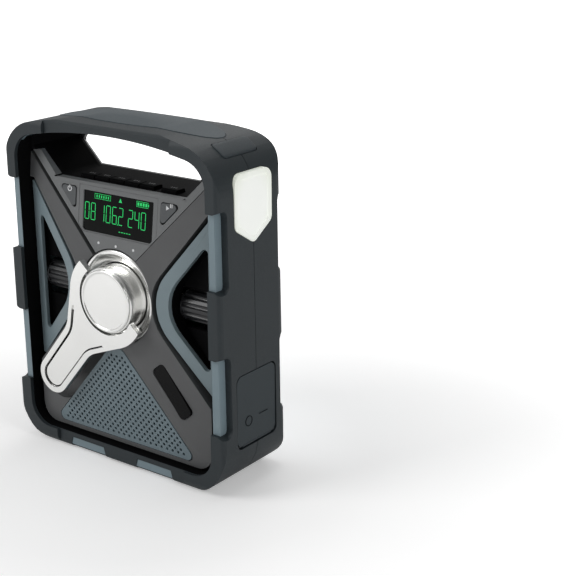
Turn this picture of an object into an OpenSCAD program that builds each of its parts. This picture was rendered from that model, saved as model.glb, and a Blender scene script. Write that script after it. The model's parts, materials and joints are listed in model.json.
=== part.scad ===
// Emergency radio with folding crank, side lamps, rear light door and through handle.
// Front is -Y, up is +Z, the floor is z = 0, x = 0 is the middle.

/* [Body] */
// half of the overall width over the bumper
half_width = 73; // [60:0.5:90]
// overall height to the top of the handle
height = 184; // [150:1:230]
// half of the depth over the bumper
half_depth = 27; // [24:0.5:36]
// radius of the lower corners seen from the front
foot_radius = 26; // [8:0.5:32]
// radius of the upper corners seen from the front
shoulder_radius = 24; // [8:0.5:28]
// radius of the gentle arch of the handle
arch_radius = 295; // [200:5:600]
// half width of the inner shell seen in the corner notches
shell_half = 69; // [60:0.5:72]
// half depth of the inner shell
shell_depth = 24.9; // [20:0.1:27]
// half width of the front and rear rim openings
rim_half = 64.4; // [55:0.1:67]

/* [Handle] */
// height of the deck under the hand gap
deck_z = 150; // [120:0.5:160]
// underside of the handle arch
arch_under = 177.5; // [165:0.5:180]

/* [Face] */
// height of the crank hub and of both rollers
hub_z = 93.5; // [80:0.5:105]
// depth coordinate of the channel floor in front
floor_y = -13; // [-18:0.5:-10]
// slope of the display fascia
fascia_slope = 0.13; // [0:0.01:0.3]

/* [Crank] */
// angle of the folded arm from straight down
arm_angle = 39.8; // [20:0.5:60]
// distance from hub to the tip centre
arm_reach = 64.8; // [50:0.1:70]
// front of the arm slab
arm_front = -30.5; // [-36:0.1:-29]
// back of the arm slab
arm_back = -27.3; // [-29:0.1:-27.3]
// radius of the drum inside the fork
drum_radius = 17.4; // [14:0.1:18]

/* [Rollers] */
// radius of the tuning and volume rollers
roller_radius = 8; // [6:0.5:10]
// number of ribs on a roller
roller_ribs = 11; // [8:1:24]

/* [Grille] */
// grille hole radius
hole_r = 0.8; // [0.4:0.05:1.2]
// row spacing of the holes
hole_row = 2.05; // [1.8:0.05:4]

/* [Rear light] */
// half width of the light door
door_half = 63.6; // [55:0.1:64]
// hinge height of the light door
door_hinge_z = 14; // [12:0.5:20]

/* [Hidden] */
$fn = 48;
// every piece, each in a module of the same name
// the piece to draw, or "all"

// colours
c_rub = [0.17,0.18,0.19];
c_shell = [0.50,0.58,0.61];
c_blk = [0.06,0.06,0.065];
c_gry = [0.28,0.28,0.285];
c_lgry = [0.40,0.40,0.41];
c_chr = [0.78,0.78,0.77];
c_wht = [0.95,0.97,0.93];
c_pcb = [0.05,0.28,0.14];

// ---------- outline helpers ----------
function unit(v) = v / norm(v);
// polygon p with every corner rounded to radius r[i]
function rp(p, r, n = 7) = [for (i = [0:len(p)-1])
  let (v = p[i], a = unit(p[(i+len(p)-1)%len(p)]-v), b = unit(p[(i+1)%len(p)]-v), q = is_list(r) ? r[i] : r,
       h = acos(max(-1,min(1,a*b)))/2)
  each (q <= 0 || h > 89 ? [v] :
    let (c = v + unit(a+b)*q/sin(h), s = v + a*q/tan(h) - c, e = v + b*q/tan(h) - c,
         a0 = atan2(s[1],s[0]), d0 = atan2(e[1],e[0]) - a0, d = d0 > 180 ? d0-360 : d0 < -180 ? d0+360 : d0)
    [for (k = [0:n]) c + q*[cos(a0+d*k/n), sin(a0+d*k/n)]])];
// convex polygon moved outwards by d
function ofs(p, d) = [for (i = [0:len(p)-1])
  let (v = p[i], a = unit(p[(i+len(p)-1)%len(p)]-v), b = unit(p[(i+1)%len(p)]-v), h = acos(a*b)/2)
  v - unit(a+b)*d/sin(h)];
function mx(p) = [for (i = [len(p)-1:-1:0]) [-p[i][0], p[i][1]]];
// height of the centre of a shoulder arc
function arc_z(hs, top, rt, R) = top-R+sqrt((R-rt)*(R-rt)-(hs-rt)*(hs-rt));
// body outline with an arched top, its sides lean in by s at the shoulders
function body(hw, top, bot, rt, rb, R, s=0) =
  let (hs = hw-s, zc = arc_z(hs,top,rt,R), a = atan2(zc-(top-R), hs-rt))
  [each [for (k = [0:10]) [hw-rb+rb*cos(-90+9*k), bot+rb+rb*sin(-90+9*k)]],
   each [for (k = [0:10]) [hs-rt+rt*cos(a*k/10), zc+rt*sin(a*k/10)]],
   each [for (k = [1:23]) let (t = a+(180-2*a)*k/24) [R*cos(t), top-R+R*sin(t)]],
   each [for (k = [0:10]) [-(hs-rt)-rt*cos(a*(10-k)/10), zc+rt*sin(a*(10-k)/10)]],
   each [for (k = [0:10]) [-(hw-rb)-rb*cos(9*k), bot+rb-rb*sin(9*k)]]];
// extrudes an x,z outline from depth y0 to y1
module ey(y0, y1) rotate([90,0,0]) translate([0,0,-y1]) linear_extrude(y1-y0) children();
// extrudes a y,z outline from x0 to x1
module ex(x0, x1) translate([x0,0,0]) rotate([90,0,90]) linear_extrude(x1-x0) children();
// box between two limits on each axis
module bx(x0,x1,y0,y1,z0,z1) translate([x0,y0,z0]) cube([x1-x0,y1-y0,z1-z0]);
// cylinder along y
module cy(x,z,r,y0,y1,fn=64) translate([x,y1,z]) rotate([90,0,0]) cylinder(r=r,h=y1-y0,$fn=fn);
// cylinder along x
module cx(y,z,r,x0,x1,fn=48) translate([x0,y,z]) rotate([0,90,0]) cylinder(r=r,h=x1-x0,$fn=fn);
// children and their mirror image in x
module both() {
  children();
  mirror([1,0,0]) children();
}
// frame of the tilted upper face
tilt = atan(fascia_slope);
face_y = -23.2; // depth of the fascia plane at z = 105
// frame of the tilted upper face
module UT() translate([0,face_y,105]) rotate([-tilt,0,0]) translate([0,0,-105]) children();
// space behind the shallow pyramid of the face, lifted forwards by d
module face_space(d = 0) {
  intersection() {
    translate([0,face_y-d,105]) rotate([-tilt,0,0]) bx(-90,90,0,60,-200,120);
    translate([0,-21.4-d,14]) rotate([atan(0.06),0,0]) bx(-90,90,0,60,-60,220);
    both_space(d);
  }
}
// space behind the two leaning halves of the face
module both_space(d) intersection() {
  translate([0,-25.4-d,0]) rotate([0,0,atan(0.07)]) bx(-120,120,0,60,-10,200);
  translate([0,-25.4-d,0]) rotate([0,0,-atan(0.07)]) bx(-120,120,0,60,-10,200);
}

// ---------- outlines ----------
lean = 1.1; // how far the sides lean in up to the shoulders
o_out = body(half_width, height, 0, shoulder_radius, foot_radius, arch_radius, lean);
o_shell = body(shell_half, height-3.6, 2.5, shoulder_radius-5, foot_radius-3, arch_radius-3.6, lean);
o_shin = body(shell_half-2.4, arch_under, 4.9, 13, foot_radius-5.4, arch_radius-6.5);
o_rim = body(rim_half, arch_under, 9.5, 14, 13, arch_radius-6.5);
gap_p = [[-43.5,deck_z],[43.5,deck_z],[58.5,deck_z+15],[58.5,190],[-58.5,190],[-58.5,deck_z+15]];
o_gap = rp(gap_p, [5,5,8,0,0,8]);
lamp_p = [[0,129.6],[14.4,138.6],[14.4,165.2],[-14.4,165.2],[-14.4,138.6]];
lamp_r = [3.5,4,5.5,5.5,4];
port_p = [[-15.6,24.7],[15.6,24.7],[15.6,63.4],[-15.6,63.4]];
trim_p = [[63.2,145.4],[61.68,145.4],[19.69,94.16],[61,48],[63.2,48]];
trim_r = [0.3,0.3,26.2,0.3,0.3];
tri_p = [[63.2,144.73],[21.8,94.2],[63.2,47.95]];
trim_tilt = 10.8;
trim_thick = 2.2;
o_rim_s = body(rim_half+1.2, arch_under, 8.3, 15, 14, arch_radius-6.5);
hub = [0, hub_z];
// direction of the folded arm in the x,z plane
ad = [-sin(arm_angle), -cos(arm_angle)];
an = [cos(arm_angle), -sin(arm_angle)];
function AP(u, w) = hub + ad*u + an*w;

// ---------- bumper ----------
rear_lean = 1.4; // how much shallower the rear is at z = 200
crown = height+0.6; // ridge of the handle
rear_fall = 4.1; // drop from the ridge to the rear edge
front_fall = 3; // drop from the ridge to the front edge
side_prof = rp([[-half_depth,0],[half_depth,0],[half_depth,foot_radius],
    [half_depth-rear_lean*0.9,crown-rear_fall],[0,crown],[-half_depth,crown-front_fall]],
    [6.5,4,0,9,60,5]);
// slope of the leaning side planes
side_slope = lean/(arc_z(half_width-lean,height,shoulder_radius,arch_radius)-foot_radius);
plan_r = [2.6,2.6,7.7,7.7];
plan_prof = rp([[-half_width-0.02,-half_depth],[half_width+0.02,-half_depth],
    [half_width+0.02,half_depth], [-half_width-0.02,half_depth]],plan_r);
top_half = half_width+0.02-(200-foot_radius)*side_slope;
plan_top = rp([[-top_half,-half_depth],[top_half,-half_depth],[top_half,half_depth-rear_lean],
    [-top_half,half_depth-rear_lean]],plan_r);
// outside of the bumper before its openings
module bumper_solid() intersection() {
  ey(-half_depth, half_depth) polygon(o_out);
  ex(-80,80) polygon(side_prof);
  hull() {
    linear_extrude(foot_radius) polygon(plan_prof);
    translate([0,0,200]) linear_extrude(0.1) polygon(plan_top);
  }
}
// outside of the inner shell
module shell_block() intersection() {
  ey(-shell_depth, shell_depth) polygon(o_shell);
  ex(-80,80) polygon([[-shell_depth-1,0],[shell_depth,0],[shell_depth,foot_radius],
      [shell_depth-rear_lean*0.9,172],[18,179.5],[18,200],[-shell_depth-1,200]]);
}
// lower and upper ends of the two corner notches
notch_z = [110,148.3,35,75];
// corner notch with ramped ends and rounded inner corners
module notch(z0,z1) both() intersection() {
  ey(-half_depth-1,-19.8) polygon([[rim_half-1,z0],[shell_half-0.4,z0],[half_width+1,z0-2],
      [half_width+1,z1+2],[shell_half-0.4,z1],[rim_half-1,z1]]);
  ex(40,90) polygon(rp([[-40,z0-1.7],[-19.8,z0-1.7],[-19.8,z1+1.7],[-40,z1+1.7]],[0,4.2,4.2,0]));
}
// side lamp outline grown by d
module lamp_hole(d,x0,x1) ex(x0,x1) polygon(rp(ofs(lamp_p,d),lamp_r));
// port cover outline grown by d
module port_hole(d,x0,x1) ex(x0,x1) polygon(rp(ofs(port_p,d),[3.6,3.6,4,4]));
// openings of both bumper halves
module bumper_cuts() {
  shell_block();
  ey(-40, 40) polygon(o_rim);
  both() lamp_hole(0.15, 60, 80);
  port_hole(0.5, 60, 80);
  port_axis(0.52,17.4);
  SW() translate([0,0,-9]) rounded_pad(13.4,5.3,14);
  grip_band(-1.1,0.9,0.2);
}
// frame of the shoulder switch, local Z points out of the surface
sw_a = 34;
sw_x = half_width-lean-shoulder_radius+shoulder_radius*sin(sw_a);
sw_z = arc_z(half_width-lean,height,shoulder_radius,arch_radius)+shoulder_radius*cos(sw_a);
// frame of the shoulder switch
module SW() translate([sw_x,0,sw_z]) rotate([0,sw_a,0]) children();
// rounded pad hy long and hx wide, either way
module rounded_pad(hy,hx,h) linear_extrude(h) polygon(rp([[-hx,-hy],[hx,-hy],[hx,hy],[-hx,hy]],2.2));
// body outline and handle roof, both moved outwards by d
module handle_skin(d) intersection() {
  ey(-40,40) polygon(body(half_width+d,height+d,0,shoulder_radius+d,20,arch_radius+d,lean));
  ex(-80,80) polygon([[-30,0],[30,0],[30,crown+d-rear_fall*30/half_depth],[0,crown+d],
      [-30,crown+d-front_fall*30/half_depth]]);
}
// lens shaped band of the handle's top between two depths
module grip_band(d0,d1,z) intersection() {
  difference() {
    handle_skin(d1);
    handle_skin(d0);
  }
  translate([0,0,120]) linear_extrude(80) polygon(pad_pts(54+z,16.4+z));
}
function pad_pts(a,b) = [for (k=[0:47]) let (t=7.5*k, c=cos(t), q=sin(t)) [a*sign(c)*pow(abs(c),0.9),
    b*sign(q)*pow(abs(q),0.95)]];
// front half of the rubber bumper
module front_bumper() color(c_rub) difference() {
  bumper_solid();
  bumper_cuts();
  bx(-90,90,-0.15,40,1.5,200);
  bx(-90,90,0,40,-1,2);
  notch(notch_z[0],notch_z[1]);
  notch(notch_z[2],notch_z[3]);
  bx(-43,43,-30,-25.3,155,200);
  bx(-45.5,45.5,-30,-25.3,-1,30);
  both() ey(-30,-22.4) polygon([[10,-1],[12.2,6.8],[35.4,6.8],[37.6,-1]]);
}
// rear half of the rubber bumper
module rear_bumper() color(c_rub) difference() {
  bumper_solid();
  bumper_cuts();
  bx(-90,90,-40,0.15,1.5,200);
  bx(-90,90,-40,0,-1,2);
  mirror([0,1,0]) {
    notch(notch_z[0],notch_z[1]);
    notch(notch_z[2],notch_z[3]);
  }
}
// ---------- inner shell, seen in the notches ----------
// inner shell before it is halved
module shell_solid() difference() {
  intersection() {
    shell_block();
    linear_extrude(200) polygon([[-69,-24.4],[-68.5,-24.9],[68.5,-24.9],[69,-24.4],[69,24.4],
        [68.5,24.9], [-68.5,24.9],[-69,24.4]]);
  }
  ey(-shell_depth+2.4, shell_depth-2.4) polygon(o_shin);
  ey(-40, 40) polygon(o_rim_s);
  both() lamp_hole(0.15, 60, 80);
  port_hole(0.5, 60, 80);
}
// thin lips that close the notches towards the rim, grown by d
module notch_lips(d=0) for (k=[0,2]) both() bx(64.45-d,66+d,-shell_depth-d,-shell_depth+0.6+d,
    notch_z[k]-0.5-d,notch_z[k+1]+0.5+d);
// front half of the shell
module shell_front() color(c_shell) {
  difference() {
    shell_solid();
    bx(-90,90,-0.15,40,-1,200);
  }
  notch_lips();
}
// rear half of the shell with the hinge blocks of the light door
module shell_rear() color(c_shell) difference() {
  union() {
    difference() {
      shell_solid();
      bx(-90,90,-40,0.15,-1,200);
    }
    intersection() {
      for (k=[0,2]) both() bx(64.45,66,23.1,26,notch_z[k]-0.5,notch_z[k+1]+0.5);
      shell_block();
    }
    both() bx(56.5,59.5,17.6,23,7.4,15.8);
  }
  both() cx(hinge_y,door_hinge_z,1.0,50,59.6,24);
}
hinge_y = 21.4; // depth of the light door's hinge

// ---------- black base frame: rim lining and channel floor ----------
o_base = body(rim_half+1.9, arch_under-0.1, 5.2, 12.5, foot_radius-5.7, arch_radius-6.6);
o_base_f = body(rim_half+1.1, arch_under-0.1, 8.4, 14.9, 13.9, arch_radius-6.6);
o_base_in = body(rim_half-0.1, arch_under-2.4, 9.6, 12, 12.9, arch_radius-8.9);
// lining of the rim, channel floor, posts and window linings
module base_frame() color(c_blk) difference() {
  union() {
    difference() {
      union() {
        ey(-22.4, floor_y+2) polygon(o_base);
        ey(-24.8, -22.3) polygon(o_base_f);
      }
      ey(-26, floor_y) polygon(o_base_in);
    }
    both() for (z=[16,80]) cy(45,z,3.2,floor_y+1.9,6,32);
    both() trim_lining();
  }
  ey(-30, 0) polygon(o_gap);
  notch_lips(0.05);
  // above the deck only the ears beside the gap stay
  bx(-46,46,-30,0,147.6,200);
  both() ey(-30,0) polygon([[40,147.6],[44.6,147.6],[60.9,163.9],[60.9,200],[40,200]]);
  both() bx(26,62.2,floor_y-0.02,0,83,104);
  both() for (z=[16,80]) cy(45,z,1.3,1.9,9,24);
  both() cy(32.3,143.6,2.7,-30,0,24);
  cy(0,38,17.5,-30,0);
  cy(0,hub_z,3.05,-30,0);
  bx(-27.5,27.5,-30,0,124,147.7);
}

// ---------- grey X frame ----------
face_p = [[-60.4,11],[60.4,11],[60.4,51],[63.6,142.3],[63.6,163],[-63.6,163],[-63.6,142.3],[-60.4,51]];
// X-shaped face with its grooves and pockets
module x_frame() color(c_gry) difference() {
  intersection() {
    ey(-27, floor_y) polygon(rp(face_p,[10,10,1,0,0,0,0,1]));
    ey(-30, 0) polygon(o_base_in);
    face_space();
  }
  // display area: groove on the left, plain seam on the right
  ey(-30,0) polygon([[-69.4,166.5],[-11.9,109.5],[8.7,109.5],[61.4,162.2],[66,178],[-69.4,178]]);
  both() ey(-30,0) polygon(rp(ofs(trim_p,2),[0.8,0.8,25,0.8,0.8]));
  ey(-30,0) polygon(rp(ofs(gr_p,0.4),[3.2,3.2,8]));
  cy(0,hub_z,25.1,-30,0,96);
  // channel round the folded arm and the scallop round its tip
  ey(-30,-17.5) polygon(rp([AP(14,22),AP(34,13.4),AP(82,13.4),AP(82,-13.4),AP(34,-13.4),AP(14,-22)],
      [0,16,13,13,16,0]));
  // name plate pocket
  translate([36.5,0,50]) rotate([0,50.8,0]) ey(-30,-20.6)
      polygon(rp([[-15.2,-4.7],[15.2,-4.7],[15.2,4.7],[-15.2,4.7]],2.6));
}
gr_p = [[-50.5,13.8],[50.5,13.8],[0,71]];
gr_r = [3,3,7.6];
function inside(x,z,m) = z > 13.8+m+0.5 && z < 71 - abs(x)*1.1327 - m*1.512;
// perforated dished grille
module speaker_grille() color(c_shell) difference() {
  intersection() {
    ey(-25,floor_y) polygon(rp(gr_p,gr_r));
    face_space(0.25);
  }
  intersection() {
    ey(-25,0) polygon(rp(ofs(gr_p,-2.4),[1.5,1.5,5]));
    face_space(-1.6);
  }
  for (j = [0:22]) for (i = [-12:12]) {
    x = i*3.8 + (j%2)*1.9;
    z = 16.6 + j*hole_row;
    if (inside(x,z,2.0)) cy(x,z,hole_r,-27,-19,20);
  }
}
// bare name plate
module badge_plate() color(c_blk) translate([36.5,0,50]) rotate([0,50.8,0]) intersection() {
  ey(-23.2,-20.65) polygon(rp([[-15,-4.5],[15,-4.5],[15,4.5],[-15,4.5]],2.5));
  bx(-20,20,-23.2,-20,-6,6);
}

// ---------- display ----------
fascia_p = [[-43.7,150.2],[-56.2,162.7],[-62.2,162.2],[-8.4,109.6],[8.3,109.6],[58,159.3],[54.8,161.3],
    [43.7,150.2]];
// face of the display, between the arms of the X
module display_fascia() color(c_lgry) difference() {
  intersection() {
    ey(-30,floor_y) polygon(fascia_p);
    UT() translate([0,0,105]) bx(-90,90,0,60,-200,120);
  }
  UT() ey(-2,20) {
    for (s=[-1,1]) polygon(btn_p(s,0.35));
    polygon(ofs(bez_p,0.1));
    for (x=[-12,0,12]) translate([x,120.4]) circle(r=0.75,$fn=16);
  }
  for (x=[-12,0,12]) UT() cy(x,120.4,1.35,2.6,20,16);
  cy(0,hub_z,25.4,-30,0,96);
}
function btn_p(s,d) = let (q = ofs([[41.3,147.2],[29.1,147.2],[29.1,134.8]],d), p = s<0 ? mx(q) : q)
    rp(p,1.6);
// lower and upper edge of the display window
lcd_z0 = 125.5;
lcd_z1 = 146.4;
bez_p = [[-23.3,124.9],[23.3,124.9],[26.8,128.4],[26.8,148.8],[-26.8,148.8],[-26.8,128.4]];
// display window, grown by d
function lcd_p(d) = [[-22.6-d/2,lcd_z0-d],[22.6+d/2,lcd_z0-d],[23.9+d,lcd_z0+1.3-d/2],[23.9+d,lcd_z1+d],
    [-23.9-d,lcd_z1+d],[-23.9-d,lcd_z0+1.3-d/2]];
// frame of the display window
module lcd_bezel() color(c_lgry) UT() ey(0.05,2.4) difference() {
  polygon(bez_p);
  polygon(lcd_p(0));
}
// display window with its module behind
module lcd_glass() color([0.02,0.03,0.02]) UT() {
  ey(0.7,2.4) polygon(lcd_p(-0.05));
  ey(2.4,5.6) polygon([[-21.8,lcd_z0+0.1],[21.8,lcd_z0+0.1],[26.5,lcd_z0+5],[26.5,lcd_z1-1],
      [-26.5,lcd_z1-1],[-26.5,lcd_z0+5]]);
}
// three light pipes under the display
module indicator_leds() color([0.8,0.8,0.75]) UT() for (x=[-12,0,12]) {
  cy(x,120.4,0.7,-0.1,4,16);
  cy(x,120.4,1.3,2.7,4,16);
}
// one of the two three-cornered buttons, s is its side
module button(s) {
  UT() ey(-0.5,2.5) polygon(btn_p(s,-0.05));
  UT() cy(s*32.3,144,1.6,2.45,6.2,24);
}
// left button
module power_button() color(c_gry) button(-1);
// right button
module play_button() color(c_gry) button(1);
// board behind the display
module display_board() color(c_pcb) difference() {
  bx(-56,56,floor_y+2.15,floor_y+3.75,106,144.2);
  cy(0,hub_z,19,-30,10);
  both() bx(26,63,-30,10,83,106.5);
}

// ---------- handle deck and tunnel ----------
// the gap widens towards the rear cover
module gap_flare() hull() {
  ey(14.4,14.5) polygon(gap_p);
  ey(19.7,19.8) polygon([[-43.5,deck_z],[43.5,deck_z],[46.9,deck_z],[61.9,deck_z+15],[61.9,190],
      [-61.9,190], [-61.9,deck_z+15],[-46.9,deck_z]]);
}
// deck and sides of the hand gap
module handle_deck() color(c_blk) difference() {
  union() {
    ey(-18.6,17.4) difference() {
      polygon([[-44.3,147.7],[44.3,147.7],[60.6,164],[60.6,168.3],[58.6,170.3],[58.5,165],[46,152.5],
          [-46,152.5],[-58.5,165],[-58.6,170.3],[-60.6,168.3],[-60.6,164]]);
      polygon(o_gap);
    }
  }
  gap_flare();
  // seat of the display fascia
  ey(-30,floor_y) polygon(ofs4(0.15));
  for (i=[0:4]) bx(key_x(i)-0.3,key_x(i)+key_w+0.3,-11,-3.6,140,160);
  bx(22.4,33,-11,-3.6,140,160);
  bx(-16.8,16.8,14.6,30,140,149.1);
}
function ofs4(d) = [[-43.7,150.2+d],[-56.2-d,162.7+2*d],[-70,162.2],[-16,109.6],[16,109.6],[66,159.3],
    [54.8+d,161.3+2*d],[43.7,150.2+d]];
key_w = 9.7;
function key_x(i) = -33 + i*10.3;
// one key of the deck with its guide foot
module deck_key(x0,x1) color(c_blk) {
  ex(x0,x1) polygon([[-10.7,145.9],[-3.9,145.9],[-3.9,151.3],[-4.6,151.9],[-9.6,151.9],[-10.7,151.3]]);
  bx(x0,x1,-4,-2.9,146.4,147.4);
}
module deck_key_1() deck_key(key_x(0),key_x(0)+key_w);
module deck_key_2() deck_key(key_x(1),key_x(1)+key_w);
module deck_key_3() deck_key(key_x(2),key_x(2)+key_w);
module deck_key_4() deck_key(key_x(3),key_x(3)+key_w);
module deck_key_5() deck_key(key_x(4),key_x(4)+key_w);
module deck_key_6() deck_key(22.7,32.7);

// ---------- speaker ----------
// loudspeaker basket, cone and magnet
module speaker_driver() color([0.2,0.2,0.21]) translate([0,0,38]) rotate([90,0,0]) {
  rotate_extrude($fn=72) polygon([[14.4,10.9],[20,10.9],[20,9.5],[15.5,8.8],[10.5,2],[10.5,-4],[0,-4],
      [0,5.4],[3.2,5.4],[4,4.6],[13.4,10.1]]);
}

// ---------- crank ----------
hy = (arm_front+arm_back)/2; // depth of the fold axis
// frame of the folded arm, local x runs along it
module AF() translate([0,0,hub_z]) rotate([0,90+arm_angle,0]) children();
// turned shape on the crank axis, outline in radius and depth
module lath(p, fn=96) translate([0,0,hub_z]) rotate([90,0,0]) rotate_extrude($fn=fn) polygon(p);
// fixed bowl round the crank
module crank_dish() color(c_chr) lath([[17.9,-floor_y],[24.9,-floor_y],[24.9,21.6],[24.2,22.3],
    [22.6,22.3],[21.2,20.6],[19.4,19.2],[17.9,18.8]]);
// turning drum with its stub shaft
module crank_drum() color(c_chr) difference() {
  lath([[0,-1.5],[3,-1.5],[3,-floor_y+0.3],[drum_radius,-floor_y+0.3],[drum_radius,29.7],
      [drum_radius-0.5,30.2],[4,30.2],[4,27],[0,27]]);
  AF() both_w() translate([0,hy,5]) cylinder(r=1,h=30,$fn=32);
}
// cap on the drum
module crank_cap() color(c_chr) lath([[0,27],[4,27],[4,30.2],[16.6,30.2],[16.6,30.9],[16.1,31.3],
    [15.2,31.3],[14.7,30.8],[0,30.8]]);
// two pins of the fork
module crank_pins() color(c_chr) AF() both_w() translate([0,hy,5]) cylinder(r=1,h=19.4,$fn=32);
// children on both sides of the arm
module both_w() {
  children();
  mirror([0,0,1]) children();
}
arm_pl = [[arm_reach+10,-10],[arm_reach+10,10],[33,10.3],[13.5,21.2],[13.5,-21.2],[33,-10.3]];
// folding lever with its fork
module crank_arm() color(c_chr) AF() difference() {
  union() {
    ey(arm_front,arm_back) polygon(rp(arm_pl,[9.9,9.9,16,0,0,16],12));
    intersection() {
      cy(0,0,25.2,arm_front,arm_back,120);
      bx(-3.4,40,-40,0,-40,40);
    }
  }
  cy(0,0,18.3,-40,0,120);
  // dished front of the lever
  difference() {
    ey(-40,arm_front+0.8) polygon(rp([[arm_reach+7,-7],[arm_reach+7,7],[33.6,7.2],[20,15],[20,-15],
        [33.6,-7.2]],[6.9,6.9,16,1,1,16],12));
    cy(0,0,21.6,-41,0,96);
  }
  // pocket for the thumb disc, with a post in its middle
  difference() {
    cy(arm_reach,0,8,arm_back-1.8,0,64);
    cy(arm_reach,0,1.5,arm_back-3,0.1,32);
  }
  cy(arm_reach,0,5,arm_back,1,32);
  translate([0,hy,-30]) cylinder(r=1.06,h=60,$fn=32);
}
// thumb disc under the tip of the lever
module crank_knob() color(c_gry) AF() difference() {
  cy(arm_reach,0,7.6,arm_back-1.5,arm_back-0.05,64);
  cy(arm_reach,0,1.55,-40,0,32);
  difference() {
    cy(arm_reach,0,6,arm_back-0.6,0,48);
    cy(arm_reach,0,2.6,-40,0.1,32);
  }
}
// spur gears with straight flanked teeth
function gear(n, ro, rr, wt, wr) = [for (i=[0:n-1]) let (a=360*i/n)
    each [for (q=[[rr,-wr],[ro,-wt],[ro,wt],[rr,wr]]) let (b=asin(q[1]/q[0]))
    q[0]*[cos(a+b),sin(a+b)]]];
pin_c = [0, hub_z+19.4];
// gear on the drum shaft
module drive_gear() color([0.85,0.83,0.75]) difference() {
  ey(-6,-3) translate([0,hub_z]) rotate(4.5) polygon(gear(40,16.55,15.0,0.35,0.75));
  cy(0,hub_z,3,-10,0,48);
  for (a=[0:60:300]) cy(10*cos(a),hub_z+10*sin(a),2.6,-10,0,32);
}
// pinion of the generator
module pinion() color([0.75,0.62,0.3]) difference() {
  ey(-7,-2) translate(pin_c) rotate(270) polygon(gear(8,3.75,2.25,0.3,0.62));
  cy(0,pin_c[1],1,-10,5,24);
}
// generator can with its flange and posts
module generator() color([0.6,0.6,0.62]) {
  difference() {
    union() {
      cy(0,pin_c[1],10,-1.2,14,72);
      bx(-16,16,-1.2,0.4,117,124);
      both() cy(13,121,2,floor_y+3.75,-1,24);
    }
    cy(0,pin_c[1],1.05,-3,6,24);
  }
}
// shaft of the generator
module generator_shaft() color([0.7,0.7,0.72]) cy(0,pin_c[1],1,-7.5,5.5,24);

// ---------- rollers in the side windows ----------
// ribbed roller on its axle
module roller() color(c_blk) difference() {
  union() {
    difference() {
      cx(-8,hub_z,roller_radius,37.2,57.2,64);
      for (k=[0:roller_ribs-1]) let (a=360*k/roller_ribs)
          translate([38.1,-8+(roller_radius+0.45)*cos(a),hub_z+(roller_radius+0.45)*sin(a)])
          rotate([0,90,0]) cylinder(r=1.5,h=18.2,$fn=14);
    }
    cx(-8,hub_z,4,28.4,37.3,48);
    cx(-8,hub_z,1.5,26.6,62.6,24);
  }
}
// right roller
module tuning_knob() roller();
// left roller
module volume_knob() mirror([1,0,0]) roller();
// cradles of both rollers
module roller_brackets() color(c_gry) both() difference() {
  union() {
    bx(27,28.2,floor_y+2.05,-1,hub_z-5,hub_z+5);
    bx(61,62.3,floor_y+2.05,-1,hub_z-5,hub_z+5);
    bx(27,62.3,1.4,3,hub_z-5,hub_z+5);
    bx(27,28.2,-1,1.4,hub_z-5,hub_z+5);
    bx(61,62.3,-1,1.4,hub_z-5,hub_z+5);
  }
  cx(-8,hub_z,1.55,26,63,24);
}
// frame of the outward tilted trim plates, local y = 0 is their front
module TT() translate([27,-23.6,0]) rotate([0,0,trim_tilt]) translate([-27,0,0]) children();
// blue-grey trim plate of a window
module trim() color(c_shell) difference() {
  intersection() {
    ey(-27,floor_y) polygon(rp(trim_p,trim_r,10));
    TT() bx(-40,90,0,trim_thick,0,200);
  }
  hull() {
    TT() ey(-1,-0.5) polygon(rp(ofs(tri_p,-4.9),[2,21,2],8));
    TT() translate([0.7,0,0]) ey(trim_thick,trim_thick+0.5) polygon(rp(ofs(tri_p,-5.2),[1.8,21,1.8],8));
  }
}
// straight black walls behind a trim plate
module trim_lining() difference() {
  intersection() {
    ey(-27,floor_y+0.5) polygon(rp(trim_p,trim_r,10));
    TT() bx(-40,90,trim_thick,40,0,200);
  }
  ey(-30,0) polygon(rp(ofs(tri_p,-5.4),[1.6,21,1.6],8));
}
// right trim
module trim_right() trim();
// left trim
module trim_left() mirror([1,0,0]) trim();

// ---------- handle top ----------
// inlay on top of the handle
module grip_pad() color([0.34,0.38,0.40]) grip_band(-1.1,0.3,0);
// lamp switch on the shoulder
module light_button() color(c_rub) intersection() {
  SW() translate([0,0,-8]) rounded_pad(13.1,5.0,14);
  difference() {
    ey(-40,40) polygon(body(half_width+0.5,height+0.5,0,shoulder_radius+0.5,20,arch_radius+0.5,lean));
    ey(-41,41) polygon(body(half_width-2.2,height-2.2,0,shoulder_radius-2.2,20,arch_radius-2.2,lean));
  }
}

// ---------- side lamps ----------
// lens of a side lamp
module lamp_lens() color(c_wht) difference() {
  ex(69.2,72.5) polygon(rp(lamp_p,lamp_r));
  ex(71.9,80) polygon(rp(ofs(lamp_p,-2.6),[2,2.4,3.4,3.4,2.4]));
  ex(60,70.4) polygon(rp(ofs(lamp_p,-1.6),[2.4,3,4,4,3]));
}
// tray behind a lens
module lamp_reflector() color(c_chr) difference() {
  ex(66.75,69.15) polygon(rp(ofs(lamp_p,-0.2),lamp_r));
  ex(67.7,80) polygon(rp(ofs(lamp_p,-1.6),[2.4,3,4,4,3]));
  cx(0,140.5,3.1,60,70,24);
}
// right lens
module lamp_lens_right() lamp_lens();
// left lens
module lamp_lens_left() mirror([1,0,0]) lamp_lens();
// both trays
module lamp_reflectors() both() lamp_reflector();
// light emitter on its round board
module lamp_led() {
  cx(0,140.5,3.0,65.2,68.6,24);
  cx(0,140.5,4.2,64.4,65.3,24);
  translate([68.6,0,140.5]) rotate([0,90,0]) cylinder(r1=3,r2=1.6,h=1.2,$fn=32);
}
// both emitters
module lamp_leds() color([1,0.95,0.6]) both() lamp_led();

// ---------- ports behind the hinged cover ----------
pc_x = 71.7; // hinge of the port cover
pc_z = 25.65;
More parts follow.
